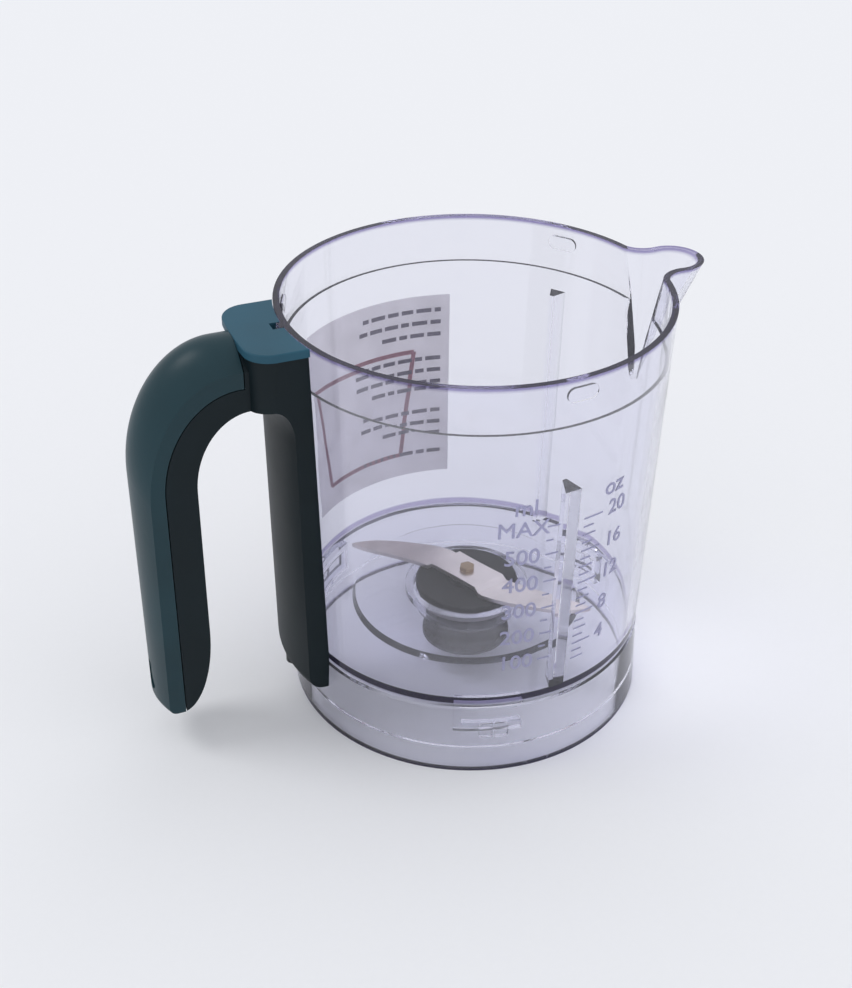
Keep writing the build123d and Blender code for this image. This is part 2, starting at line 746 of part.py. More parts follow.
def post_block():
    """The handle's post, before the jug's wall and the finger gap are cut from it."""
    with BuildPart() as post:
        add(plate_plan(POST_FOOT_Z, PLATE_LIP))
        extrude(amount=PLATE_Z0 - POST_FOOT_Z)
    return post.part


def jug_clearance():
    """The jug's outer wall and skirt, grown by the gap that the handle keeps from them."""
    with BuildPart() as clearance:
        with BuildSketch(Plane.XZ):
            with BuildLine():
                Polyline(
                    (0, -EPS),
                    (FOOT_R + JUG_GAP, -EPS),
                    (FOOT_R + JUG_GAP, 0),
                    (JUNCTION_R + JUG_GAP, JUNCTION_Z),
                    (RIM_R + JUG_GAP, JUG_H),
                    (RIM_R + JUG_GAP, JUG_H + EPS),
                    (0, JUG_H + EPS),
                    close=True,
                )
            make_face()
        revolve(axis=Axis.Z)
    return clearance.part


def rod_channel():
    """Slot for the interlock rod's bar, with the spring's bore below it."""
    with BuildPart() as channel:
        shoulder = ROD_COLLAR_Z + ROD_COLLAR_T + 0.3
        with BuildSketch(Plane.XY.offset(shoulder - EPS)):
            with Locations((-ROD_BAR_X, 0)):
                Rectangle(ROD_BAR_T + 2 * ROD_GAP, ROD_BAR_W + 2 * ROD_GAP)
        extrude(amount=JUG_H - shoulder + 2 * EPS)
        with BuildSketch(Plane.XY.offset(POST_FOOT_Z - EPS)):
            with Locations((-ROD_X, 0)):
                Circle(CHANNEL_R)
        extrude(amount=shoulder - POST_FOOT_Z + EPS)
    return channel.part


def tab_groove():
    """Room in the handle for the key on the jug's rim."""
    with BuildPart() as groove:
        with BuildSketch(Plane.XY.offset(JUG_H - TAB_L - 0.3)):
            with Locations((-RIM_R + 1, 0)):
                Rectangle(TAB_PROUD + 1 + JUG_GAP, SLOT_W, align=(Align.MAX, Align.CENTER))
        extrude(amount=TAB_L + 1)
    return groove.part


def finger_gap():
    """Space for the fingers between grip and post, crowned on both sides."""
    edge = (FINGER_X_EDGE, ARCH_Z_EDGE, POST_FACE_X - POST_FACE_DROP)
    middle = (FINGER_X, ARCH_Z, POST_FACE_X)
    return lofted(
        [gap_section(-CUT_HALF_W, *edge), gap_section(0, *middle), gap_section(CUT_HALF_W, *edge)]
    )


def screw_axis(x):
    """Plane square to the cover screw at a distance from the jug's axis, facing the jug."""
    return Plane(origin=(-x, 0, SCREW_Z), x_dir=(0, 1, 0), z_dir=(1, 0, 0))


PLUG_FACE_X = GRIP_BACK_X - PLUG_SINK
HEAD_SEAT_X = PLUG_FACE_X - PLUG_T - SCREW_HEAD_T

handle_outer = grip_block()
handle_gap = finger_gap()
handle_hollow = grip_hollow()

with BuildPart() as handle_body:
    add(handle_outer)
    add(seam_region(0), mode=Mode.SUBTRACT)
    add(post_block())
    with BuildSketch(Plane.XY.offset(PLATE_Z0)):
        Rectangle(2 * GRIP_BACK_X, 4 * PLATE_HALF_W)
    extrude(amount=10, mode=Mode.SUBTRACT)
    add(handle_gap, mode=Mode.SUBTRACT)
    add(handle_hollow, mode=Mode.SUBTRACT)
    add(jug_clearance(), mode=Mode.SUBTRACT)
    grooves = rail(POST_FOOT_Z - RAIL_OVERRUN, RAIL_Z1 + RAIL_STOP, RAIL_GAP)
    add(grooves, mode=Mode.SUBTRACT)
    add(rod_channel(), mode=Mode.SUBTRACT)
    add(tab_groove(), mode=Mode.SUBTRACT)
    with BuildSketch(Plane.XY.offset(PLATE_Z0)):
        with Locations((-PEG_X, -PEG_Y), (-PEG_X, PEG_Y)):
            Circle(PEG_R)
    extrude(amount=-PEG_L - 0.2, mode=Mode.SUBTRACT)
    with BuildSketch(screw_axis(SEAM_X + EPS)):
        Circle(SCREW_SHANK_R)
    extrude(amount=SCREW_L - (HEAD_SEAT_X - SEAM_X) + EPS, mode=Mode.SUBTRACT)
save(handle_body.part, "handle_body")

with BuildPart() as handle_cover:
    add(handle_outer)
    add(seam_region(SEAM_GAP), mode=Mode.INTERSECT)
    add(handle_hollow, mode=Mode.SUBTRACT)
    with BuildSketch(screw_axis(SEAM_X - EPS)):
        Circle(SCREW_SHANK_R)
    extrude(amount=-20, mode=Mode.SUBTRACT)
    with BuildSketch(screw_axis(HEAD_SEAT_X)):
        Circle(SCREW_HEAD_R)
    extrude(amount=-20, mode=Mode.SUBTRACT)
    with BuildSketch(screw_axis(PLUG_FACE_X - PLUG_T)):
        SlotOverall(PLUG_L, PLUG_W, rotation=90)
    extrude(amount=-20, mode=Mode.SUBTRACT)
save(handle_cover.part, "handle_cover")

with BuildPart() as cover_screw:
    with BuildSketch(screw_axis(HEAD_SEAT_X)):
        Circle(SCREW_SHANK_R)
    extrude(amount=SCREW_L)
    with BuildSketch(screw_axis(HEAD_SEAT_X)):
        Circle(SCREW_HEAD_R - 0.1)
    extrude(amount=-SCREW_HEAD_T)
    with BuildSketch(screw_axis(HEAD_SEAT_X + SCREW_HEAD_T)):
        Rectangle(CROSS_L, CROSS_W)
        Rectangle(CROSS_W, CROSS_L)
    extrude(amount=CROSS_DEPTH, mode=Mode.SUBTRACT)
save(cover_screw.part, "cover_screw")

with BuildPart() as screw_plug:
    with BuildSketch(screw_axis(PLUG_FACE_X - PLUG_T)):
        SlotOverall(PLUG_L - PLUG_GAP, PLUG_W - PLUG_GAP, rotation=90)
    extrude(amount=-PLUG_T + PLUG_INSET)
    chamfer(screw_plug.faces().sort_by(Axis.X)[0].edges(), PLUG_INSET)
save(screw_plug.part, "screw_plug")

with BuildPart() as handle_top_plate:
    add(plate_plan(PLATE_Z0, 0))
    extrude(amount=PLATE_T)
    add(jug_clearance(), mode=Mode.SUBTRACT)
    with BuildSketch(Plane.XY.offset(PLATE_Z0)):
        with Locations((-RIM_R + 2, 0)):
            Rectangle(SLOT_X - RIM_R + 2, SLOT_W, align=(Align.MAX, Align.CENTER))
    extrude(amount=PLATE_T, mode=Mode.SUBTRACT)
    top_edges = handle_top_plate.faces().sort_by(Axis.Z)[-1].edges()
    outer_edges = [e for e in top_edges if hypot(e.center().X, e.center().Y) > RIM_R + 4]
    fillet(outer_edges, PLATE_EDGE_R)
    with BuildSketch(Plane.XY.offset(PLATE_Z0)):
        with Locations((-PEG_X, -PEG_Y), (-PEG_X, PEG_Y)):
            Circle(PEG_R)
    extrude(amount=-PEG_L)
save(handle_top_plate.part, "handle_top_plate")


# ---------------------------------------------------------------- interlock rod

with BuildPart() as interlock_rod:
    with BuildSketch(Plane.XY.offset(ROD_COLLAR_Z)):
        with Locations((-ROD_BAR_X, 0)):
            Rectangle(ROD_BAR_T, ROD_BAR_W)
    extrude(amount=ROD_TOP_Z - ROD_COLLAR_Z)
    with BuildSketch(Plane.XY.offset(ROD_COLLAR_Z)):
        with Locations((-ROD_X, 0)):
            Circle(ROD_COLLAR_R)
    extrude(amount=ROD_COLLAR_T)
    with BuildSketch(Plane.XY.offset(ROD_FOOT_Z)):
        with Locations((-ROD_X, 0)):
            Circle(ROD_R)
    extrude(amount=ROD_COLLAR_Z - ROD_FOOT_Z)
    chamfer(interlock_rod.faces().sort_by(Axis.Z)[0].edges(), 0.4)
save(interlock_rod.part, "interlock_rod")

with BuildPart() as rod_guide:
    with BuildSketch(Plane.XY.offset(GUIDE_Z0)):
        with Locations((-ROD_X, 0)):
            Circle(CHANNEL_R)
            Circle(ROD_R + 0.1, mode=Mode.SUBTRACT)
    extrude(amount=GUIDE_T)
save(rod_guide.part, "rod_guide")

SPRING_Z0 = GUIDE_Z0 + GUIDE_T + SPRING_WIRE_R + 0.05
SPRING_L = ROD_COLLAR_Z - SPRING_WIRE_R - 0.05 - SPRING_Z0

with BuildPart() as rod_spring:
    with BuildLine():
        coil = Helix(SPRING_L / SPRING_TURNS, SPRING_L, SPRING_R, center=(-ROD_X, 0, SPRING_Z0))
    with BuildSketch(Plane(origin=coil @ 0, z_dir=coil % 0)):
        Circle(SPRING_WIRE_R)
    sweep()
save(rod_spring.part, "rod_spring")


# ---------------------------------------------------------------- blade unit, fixed pieces

with BuildPart() as bearing_housing:
    with BuildSketch(Plane.XZ):
        with BuildLine():
            Polyline(
                (SEAL_R, FLANGE_Z1),
                (FLANGE_R, FLANGE_Z1),
                (FLANGE_R, FLANGE_Z0),
                (NECK_R, FLANGE_Z0),
                (NECK_R, NECK_FOOT_Z),
                (BUSH_R, NECK_FOOT_Z),
                (BUSH_R, WAIST_Z0),
                (BUSH_WAIST_R, WAIST_Z0),
                (BUSH_WAIST_R, WAIST_Z1),
                (BUSH_R, WAIST_Z1),
                (BUSH_R, SEAL_Z0),
                (SEAL_R, SEAL_Z0),
                close=True,
            )
        make_face()
    revolve(axis=Axis.Z)
save(bearing_housing.part, "bearing_housing")

save(hub_ring(GASKET_R, HUB_HOLE_R + 0.6, FLOOR_Z, FLANGE_Z0), "housing_gasket")
save(hub_ring(SEAL_R, SHAFT_R + RUN_GAP, SEAL_Z0, SEAL_Z0 + SEAL_T), "shaft_seal")
save(hub_ring(BUSH_R, SHAFT_R + RUN_GAP, WAIST_Z1, WAIST_Z1 + UPPER_BUSH_L), "upper_bush")
save(hub_ring(BUSH_R, SHAFT_R + RUN_GAP, LOWER_BUSH_Z0, WAIST_Z0), "lower_bush")
save(hub_ring(NUT_CORNER_R - 1.2, NECK_R + 0.3, WASHER_Z0, FLOOR_UNDER_Z), "nut_washer")

with BuildPart() as retaining_nut:
    with BuildSketch(Plane.XY.offset(NUT_FOOT_Z)):
        RegularPolygon(NUT_CORNER_R, NUT_SIDES, rotation=180 / NUT_SIDES)
    extrude(amount=WASHER_Z0 - NUT_FOOT_Z)
    with BuildSketch(Plane.XY.offset(NUT_FOOT_Z - NUT_RIM_T)):
        Circle(NUT_RIM_R)
    extrude(amount=NUT_RIM_T)
    with BuildSketch(Plane.XY.offset(NUT_FOOT_Z - NUT_RIM_T)):
        Circle(NUT_BORE_R)
    extrude(amount=NECK_FOOT_Z - NUT_FOOT_Z + NUT_RIM_T, mode=Mode.SUBTRACT)
    with BuildSketch(Plane.XY.offset(NECK_FOOT_Z)):
        Circle(NECK_R)
    extrude(amount=WASHER_Z0 - NECK_FOOT_Z, mode=Mode.SUBTRACT)
save(retaining_nut.part, "retaining_nut")


# ---------------------------------------------------------------- blade unit, spinning pieces


def spigot_plan(z):
    """Double-D shape that makes the spacer and the blade turn with the shaft."""
    with BuildSketch(Plane.XY.offset(z)) as plan:
        Circle(SPIGOT_R)
        Rectangle(2 * SPIGOT_R, 2 * SPIGOT_FLAT, mode=Mode.INTERSECT)
    return plan.sketch


with BuildPart() as drive_shaft:
    with BuildSketch(Plane.XY.offset(SHAFT_FOOT_Z)):
        Circle(SHAFT_R)
    extrude(amount=DISC_Z1 - SHAFT_FOOT_Z)
    add(spigot_plan(DISC_Z1))
    extrude(amount=BLADE_Z1 - 0.1 - DISC_Z1)
    with BuildSketch(Plane.XY.offset(BLADE_Z1)):
        Circle(BOLT_R)
    extrude(amount=-BOLT_L - 0.3, mode=Mode.SUBTRACT)
    with BuildSketch(Plane.XY.offset(CLIP_Z0)):
        Circle(SHAFT_R)
        Circle(SHAFT_R - CLIP_GROOVE, mode=Mode.SUBTRACT)
    extrude(amount=CLIP_T, mode=Mode.SUBTRACT)
save(drive_shaft.part, "drive_shaft")

with BuildPart() as shaft_clip:
    with BuildSketch(Plane.XY.offset(CLIP_Z0)):
        Circle(CLIP_R)
        Circle(SHAFT_R - CLIP_GROOVE, mode=Mode.SUBTRACT)
        with Locations((CLIP_R / 2 + 1, 0)):
            Rectangle(CLIP_R, 2.4, mode=Mode.SUBTRACT)
    extrude(amount=CLIP_T)
save(shaft_clip.part, "shaft_clip")

save(hub_ring(THRUST_R, SHAFT_R, THRUST_Z0, THRUST_Z0 + THRUST_T), "thrust_washer")

with BuildPart() as hub_disc:
    with BuildSketch(Plane.XY.offset(DISC_Z0)):
        Circle(DISC_R)
    extrude(amount=DISC_T)
    fillet(hub_disc.faces().sort_by(Axis.Z)[-1].edges(), DISC_EDGE_R)
    with BuildSketch(Plane.XY.offset(DISC_Z0)):
        Circle(DISC_R - DISC_RIM_T)
        Circle(SPACER_R, mode=Mode.SUBTRACT)
    extrude(amount=DISC_T / 2, mode=Mode.SUBTRACT)
    with BuildSketch(Plane.XY.offset(DISC_Z0)):
        Circle(SHAFT_R)
    extrude(amount=DISC_T, mode=Mode.SUBTRACT)
save(hub_disc.part, "hub_disc")

with BuildPart() as blade_spacer:
    with BuildSketch(Plane.XY.offset(DISC_Z1)):
        Circle(SPACER_R)
    extrude(amount=SPACER_T)
    add(spigot_plan(DISC_Z1))
    extrude(amount=SPACER_T, mode=Mode.SUBTRACT)
save(blade_spacer.part, "blade_spacer")


def blade_plan():
    """Plan of the blade: a middle plate and two swept arms, alike under a half turn."""
    root_lead = (0.6, 13.6)
    root_trail = (-10.6, 8.6)
    tip = polar(BLADE_TIP_R, 133.5)
    lead = (root_lead, (-4.6, 19.3), (-12.8, 25.3), (-21.0, 30.0), tip)
    trail = (tip, (-26.0, 26.0), (-20.6, 20.4), (-15.6, 14.9), root_trail)
    waist = (-6.6, 0.4)
    with BuildSketch(Plane.XY.offset(BLADE_Z0 - 6)) as plan:
        with BuildLine():
            for turn in (1, -1):
                a = [(turn * x, turn * y) for x, y in lead]
                b = [(turn * x, turn * y) for x, y in trail]
                Spline(*a)
                Spline(*b)
                start = (turn * root_trail[0], turn * root_trail[1])
                end = (-turn * root_lead[0], -turn * root_lead[1])
                Spline(start, (turn * waist[0], turn * waist[1]), end)
        make_face()
    return plan.sketch


def blade_strip():
    """Bent strip that gives the blade its joggle and the droop of its arms."""
    reach = BLADE_TIP_R + 4
    low = BLADE_Z0 - BLADE_DROP
    run = [
        (BLADE_FLAT, BLADE_Z0),
        (BLADE_FLAT + BLADE_BEND, low),
        (DISC_R + 1.5, low),
        (reach, low - BLADE_DROOP),
    ]
    half = [(-s, z) for s, z in reversed(run)]
    bottom = half + run
    top = [(s, z + BLADE_T) for s, z in reversed(bottom)]
    azimuth = radians(BEND_AZ)
    side = Vector(sin(azimuth), -cos(azimuth), 0)
    plane = Plane(origin=side * -reach, x_dir=(cos(azimuth), sin(azimuth), 0), z_dir=side)
    flip = 1 if plane.y_dir.Z > 0 else -1
    with BuildPart() as strip:
        with BuildSketch(plane):
            with BuildLine():
                Polyline(*[(s, flip * z) for s, z in bottom + top], close=True)
            make_face()
        extrude(amount=2 * reach)
    return strip.part


with BuildPart() as blade:
    add(blade_plan())
    extrude(amount=12)
    add(blade_strip(), mode=Mode.INTERSECT)
    add(spigot_plan(BLADE_Z0 - 1))
    extrude(amount=BLADE_T + 2, mode=Mode.SUBTRACT)
save(blade.part, "blade")

with BuildPart() as blade_bolt:
    with BuildSketch(Plane.XY.offset(BLADE_Z1)):
        RegularPolygon(BOLT_HEAD_AF / 2, 6, major_radius=False)
    extrude(amount=BOLT_HEAD_T)
    chamfer(blade_bolt.faces().sort_by(Axis.Z)[-1].edges(), BOLT_EDGE)
    with BuildSketch(Plane.XY.offset(BLADE_Z1)):
        Circle(BOLT_R)
    extrude(amount=-BOLT_L)
save(blade_bolt.part, "blade_bolt")

with BuildPart() as drive_coupling:
    with BuildSketch(Plane.XY.offset(COUPLING_FOOT_Z)):
        Circle(COUPLING_R)
    extrude(amount=COUPLING_H)
    chamfer(drive_coupling.faces().sort_by(Axis.Z)[0].edges(), COUPLING_EDGE)
    with BuildSketch(Plane.XY.offset(COUPLING_FOOT_Z)):
        Circle(COUPLING_SOCKET_R)
        with PolarLocations(0, 3):
            with Locations((COUPLING_SLOT_R / 2, 0)):
                Rectangle(COUPLING_SLOT_R, COUPLING_SLOT_W)
    extrude(amount=COUPLING_SOCKET_L, mode=Mode.SUBTRACT)
    with BuildSketch(Plane.XY.offset(SHAFT_FOOT_Z)):
        Circle(SHAFT_R)
    extrude(amount=COUPLING_TOP_Z - SHAFT_FOOT_Z, mode=Mode.SUBTRACT)
    with BuildSketch(Plane.XY.offset(COUPLING_TOP_Z)):
        RegularPolygon(INSERT_R, 6)
    extrude(amount=-INSERT_L, mode=Mode.SUBTRACT)
save(drive_coupling.part, "drive_coupling")

with BuildPart() as coupling_insert:
    with BuildSketch(Plane.XY.offset(COUPLING_TOP_Z)):
        RegularPolygon(INSERT_R, 6)
        Circle(SHAFT_R, mode=Mode.SUBTRACT)
    extrude(amount=-INSERT_L)
save(coupling_insert.part, "coupling_insert")
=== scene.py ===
"""Looks of a baby food maker's clear blending jug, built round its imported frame."""

from math import atan2, cos, hypot, pi, radians, sin

import bmesh
import bpy
from bpy.props import FloatProperty, FloatVectorProperty, IntProperty, PointerProperty
from mathutils import Matrix, Vector


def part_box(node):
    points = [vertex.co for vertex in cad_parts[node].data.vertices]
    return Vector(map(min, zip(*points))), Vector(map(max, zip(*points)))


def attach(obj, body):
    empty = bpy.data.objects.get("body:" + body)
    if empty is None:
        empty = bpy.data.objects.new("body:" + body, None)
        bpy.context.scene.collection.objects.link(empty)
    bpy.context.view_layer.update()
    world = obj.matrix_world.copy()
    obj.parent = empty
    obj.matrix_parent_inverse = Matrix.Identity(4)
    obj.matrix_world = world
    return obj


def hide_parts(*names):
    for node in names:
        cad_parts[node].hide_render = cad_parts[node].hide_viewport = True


bl_info = {
    "name": "Blending jug",
    "version": (1, 0, 0),
    "blender": (4, 5, 0),
    "location": "View3D > Sidebar > Blending jug",
    "description": "Builds the visible pieces and finishes of a clear blending jug",
    "category": "Add Mesh",
}

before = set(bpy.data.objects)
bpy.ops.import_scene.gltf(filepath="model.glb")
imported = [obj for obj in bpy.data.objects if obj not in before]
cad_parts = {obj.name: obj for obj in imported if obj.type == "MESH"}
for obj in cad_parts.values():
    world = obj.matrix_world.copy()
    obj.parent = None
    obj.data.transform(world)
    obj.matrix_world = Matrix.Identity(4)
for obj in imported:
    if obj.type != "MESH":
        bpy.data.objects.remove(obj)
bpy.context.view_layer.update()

MM = 0.001
RIM_RADIUS = -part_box("jug_body")[0].y
RIM_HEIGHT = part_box("jug_body")[1].z
# Heights where the moulding is thick, tinted darker violet: partly its own deeper colour there,
# partly painted shade for the dark rings that refraction shows; low, high and fade
THICK_SHADE_BANDS = ((0.0, 0.4 * MM, 0.5 * MM), (26.9 * MM, 29.0 * MM, 0.35 * MM),
               (138.9 * MM, 139.7 * MM, 0.5 * MM))
WALL_INSIDE = 56.2 * MM     # radius just inside the outer skin
LABEL_START = 73.7          # degrees round the wall at which the label begins and ends
LABEL_END = 133.0
OUNCE = 29.57               # millilitres in a fluid ounce
OUNCE_START = radians(-80.3)
# Middles of the front scale's lines and numbers, in radians round the wall
ML_LINE, ML_HALF_LINE = radians(-90.4), radians(-91.3)
ML_NUMBER, ML_UNIT = radians(-99.3), radians(-98.8)
OUNCE_NUMBER, OUNCE_UNIT = radians(-71.4), radians(-73.6)
ML_WIDTH, ML_HALF_WIDTH = 4.0 * MM, 2.2 * MM
OUNCE_LONG, OUNCE_EVEN, OUNCE_ODD = 7.0 * MM, 4.6 * MM, 3.6 * MM
SUNK = 0.05 * MM            # how deep raised marks are rooted in the wall
# Print on the label
FILM_T, FILM_LIFT = 0.1 * MM, 0.03 * MM
INK_T, INK_LIFT, CUP_LIFT = 0.13 * MM, 0.015 * MM, 0.02 * MM
LINE_GAP, LINE_H, LINE_COUNT, TOP_MARGIN = 4.6 * MM, 1.5 * MM, 13, 5.5 * MM
WORD_GAP = 1.2 * MM
CUP_CORNERS = ((-17, -26), (17, -26), (23, 14), (-23, 14))   # millimetres from its middle
CUP_STROKE = 1.6 * MM
JUG = "jug"                 # the body that every new piece rides on
JOIN = 0.002 * MM           # points closer than this are one point


# ---------------------------------------------------------------- colours and nodes


def linear(hex_code):
    """Turn an sRGB hex colour into the linear values that shaders use."""
    channels = [int(hex_code[i:i + 2], 16) / 255 for i in (1, 3, 5)]
    return [c / 12.92 if c <= 0.04045 else ((c + 0.055) / 1.055) ** 2.4 for c in channels]


def add_node(tree, kind, settings=None, links=None):
    """Add a shader node with its settings, inputs by name or place, and its links."""
    node = tree.nodes.new(kind)
    for key, value in (settings or {}).items():
        if isinstance(key, int) or key in node.inputs:
            node.inputs[key].default_value = value
        else:
            setattr(node, key, value)
    for key, socket in (links or {}).items():
        tree.links.new(socket, node.inputs[key])
    return node


def new_material(name):
    """Empty node material and the Object coordinates that its patterns read."""
    material = bpy.data.materials.new(name)
    material.use_nodes = True
    tree = material.node_tree
    tree.nodes.clear()
    place = add_node(tree, "ShaderNodeTexCoord").outputs["Object"]
    return material, tree, place


def feature(size_mm):
    """Texture scale that gives features of a real size, as coordinates are in metres."""
    return 1.0 / (size_mm * MM)


def close_material(tree, shader, volume=None):
    """Join a finished shader, and a volume where there is one, to the output."""
    links = {"Surface": shader}
    if volume is not None:
        links["Volume"] = volume
    add_node(tree, "ShaderNodeOutputMaterial", links=links)


def tinted(tree, factor, low, high, first, second):
    """Colour that runs from one value to another as a pattern goes from low to high."""
    ramp = add_node(tree, "ShaderNodeValToRGB", links={"Fac": factor})
    ramp.color_ramp.elements[0].position = low
    ramp.color_ramp.elements[1].position = high
    ramp.color_ramp.elements[0].color = (*first, 1)
    ramp.color_ramp.elements[1].color = (*second, 1)
    return ramp.outputs["Color"]


def ranged(tree, factor, low, high):
    """Number that runs from low to high as a pattern goes from 0 to 1."""
    settings = {"To Min": low, "To Max": high}
    return add_node(tree, "ShaderNodeMapRange", settings, {"Value": factor}).outputs["Result"]


def scaled(colour, share):
    """Colour with each channel multiplied by a share."""
    return [c * share for c in colour]


# ---------------------------------------------------------------- materials


def banded(tree, place, plain, dark, bands, radius):
    """Colour that turns dark in bands of height, on surfaces outside a radius: painted shade for
    the dark rings that refraction shows in thick plastic.
    """
    height = add_node(tree, "ShaderNodeSeparateXYZ", links={"Vector": place}).outputs["Z"]
    share = add_node(tree, "ShaderNodeMath", {"operation": "DIVIDE", 1: RIM_HEIGHT},
                     {0: height}).outputs[0]
    ramp = add_node(tree, "ShaderNodeValToRGB", links={"Fac": share})
    stops = ramp.color_ramp.elements
    stops[0].position, stops[1].position = 0.0, 1.0
    stops[0].color = stops[1].color = (*dark, 1)
    for low, high, fade in bands:
        for z, colour in ((low - fade, plain), (low, dark), (high, dark), (high + fade, plain)):
            if 0 < z < RIM_HEIGHT:
                stops.new(z / RIM_HEIGHT).color = (*colour, 1)
    flat = add_node(tree, "ShaderNodeVectorMath", {"operation": "MULTIPLY", 1: (1, 1, 0)},
                    {0: place}).outputs[0]
    reach = add_node(tree, "ShaderNodeVectorMath", {"operation": "LENGTH"}, {0: flat})
    outside = add_node(tree, "ShaderNodeMapRange", {"From Min": radius, "From Max": radius + MM},
                       {"Value": reach.outputs["Value"]}).outputs["Result"]
    return add_node(tree, "ShaderNodeMixRGB", {"Color1": (*plain, 1)},
                    {"Fac": outside, "Color2": ramp.outputs["Color"]}).outputs["Color"]


def clear_copolyester(tint, edge, absorption, density):
    """Injection-moulded copolyester: clear with a lilac cast, and violet where it is thick, partly
    its own colour and partly painted shade.
    """
    material, tree, place = new_material("clear_copolyester_moulded")
    flow = add_node(tree, "ShaderNodeTexNoise", {"Scale": feature(28), "Detail": 2},
                    {"Vector": place}).outputs["Fac"]
    scuffs = add_node(tree, "ShaderNodeTexNoise", {"Scale": feature(1.6), "Detail": 6,
                      "Roughness": 0.7}, {"Vector": place}).outputs["Fac"]
    waves = add_node(tree, "ShaderNodeBump", {"Strength": 0.12, "Distance": 0.4 * MM},
                     {"Height": flow}).outputs["Normal"]
    # painted shade: darker violet bands at the foot, the floor's junction and the rim, on the
    # outer skin
    cast = banded(tree, place, tint, edge, THICK_SHADE_BANDS, WALL_INSIDE)
    body = add_node(
        tree, "ShaderNodeBsdfPrincipled", {"Transmission Weight": 0.96, "IOR": 1.38},
        {"Base Color": cast, "Roughness": ranged(tree, scuffs, 0.0, 0.03), "Normal": waves},
    )
    clear = add_node(tree, "ShaderNodeBsdfTransparent", {"Color": (*scaled(tint, 0.95), 1)})
    rays = add_node(tree, "ShaderNodeLightPath").outputs["Is Shadow Ray"]
    seen = add_node(tree, "ShaderNodeMixShader",
                    links={0: rays, 1: body.outputs[0], 2: clear.outputs[0]})
    depth = add_node(tree, "ShaderNodeVolumeAbsorption",
                     {"Color": (*absorption, 1), "Density": density})
    close_material(tree, seen.outputs[0], depth.outputs[0])
    return material


def raised_marks(colour):
    """Faces of raised marks, textured in the mould so that they read as frosted strokes."""
    material, tree, place = new_material("clear_copolyester_frosted")
    grit = add_node(tree, "ShaderNodeTexNoise", {"Scale": feature(0.3), "Detail": 3},
                    {"Vector": place}).outputs["Fac"]
    frost = add_node(tree, "ShaderNodeBump", {"Strength": 0.3, "Distance": 0.05 * MM},
                     {"Height": grit}).outputs["Normal"]
    body = add_node(
        tree, "ShaderNodeBsdfPrincipled",
        {"Base Color": (*colour, 1), "Transmission Weight": 0.55, "IOR": 1.3},
        {"Roughness": ranged(tree, grit, 0.3, 0.5), "Normal": frost},
    )
    close_material(tree, body.outputs[0])
    return material


def moulded_plastic(name, colour, roughness, grain_mm, grain_depth, shine=0.5):
    """Spark-textured moulding: a fine grain breaks the gloss, with rubbed, glossier patches."""
    material, tree, place = new_material(name)
    grain = add_node(tree, "ShaderNodeTexNoise", {"Scale": feature(grain_mm), "Detail": 4},
                     {"Vector": place}).outputs["Fac"]
    rubbed = add_node(tree, "ShaderNodeTexNoise", {"Scale": feature(26), "Detail": 5},
                      {"Vector": place}).outputs["Fac"]
    skin = tinted(tree, rubbed, 0.3, 0.7, scaled(colour, 0.88), scaled(colour, 1.1))
    relief = add_node(tree, "ShaderNodeBump", {"Strength": 0.35, "Distance": grain_depth * MM},
                      {"Height": grain}).outputs["Normal"]
    body = add_node(
        tree, "ShaderNodeBsdfPrincipled", {"IOR": 1.5, "Specular IOR Level": shine},
        {"Base Color": skin, "Normal": relief,
         "Roughness": ranged(tree, rubbed, roughness - 0.06, roughness + 0.06)},
    )
    close_material(tree, body.outputs[0])
    return material


def ground_metal(name, colour, roughness, lay_mm, turned=False):
    """Metal with the fine lay of its grinding, straight on sheet and round on turned pieces."""
    material, tree, place = new_material(name)
    stretch = (1, 1, 40) if turned else (1, 14, 1)
    lay = add_node(tree, "ShaderNodeMapping", {"Scale": stretch}, {"Vector": place})
    lines = add_node(tree, "ShaderNodeTexNoise", {"Scale": feature(lay_mm), "Detail": 6},
                     {"Vector": lay.outputs[0]}).outputs["Fac"]
    smear = add_node(tree, "ShaderNodeTexNoise", {"Scale": feature(7), "Detail": 4},
                     {"Vector": place}).outputs["Fac"]
    shade = tinted(tree, smear, 0.3, 0.75, scaled(colour, 0.82), colour)
    relief = add_node(tree, "ShaderNodeBump", {"Strength": 0.12, "Distance": 0.03 * MM},
                      {"Height": lines}).outputs["Normal"]
    body = add_node(
        tree, "ShaderNodeBsdfPrincipled", {"Metallic": 1.0},
        {"Base Color": shade, "Normal": relief,
         "Roughness": ranged(tree, lines, roughness - 0.1, roughness + 0.1)},
    )
    close_material(tree, body.outputs[0])
    return material


def sintered_bronze(colour):
    """Pressed and sintered bronze: dull, with open pores."""
    material, tree, place = new_material("sintered_bronze_oiled")
    pores = add_node(tree, "ShaderNodeTexVoronoi", {"Scale": feature(0.35)},
                     {"Vector": place}).outputs["Distance"]
    relief = add_node(tree, "ShaderNodeBump", {"Strength": 0.5, "Distance": 0.04 * MM},
                      {"Height": pores}).outputs["Normal"]
    shade = tinted(tree, pores, 0.1, 0.6, scaled(colour, 0.55), colour)
    body = add_node(tree, "ShaderNodeBsdfPrincipled", {"Metallic": 1.0, "Roughness": 0.45},
                    {"Base Color": shade, "Normal": relief})
    close_material(tree, body.outputs[0])
    return material


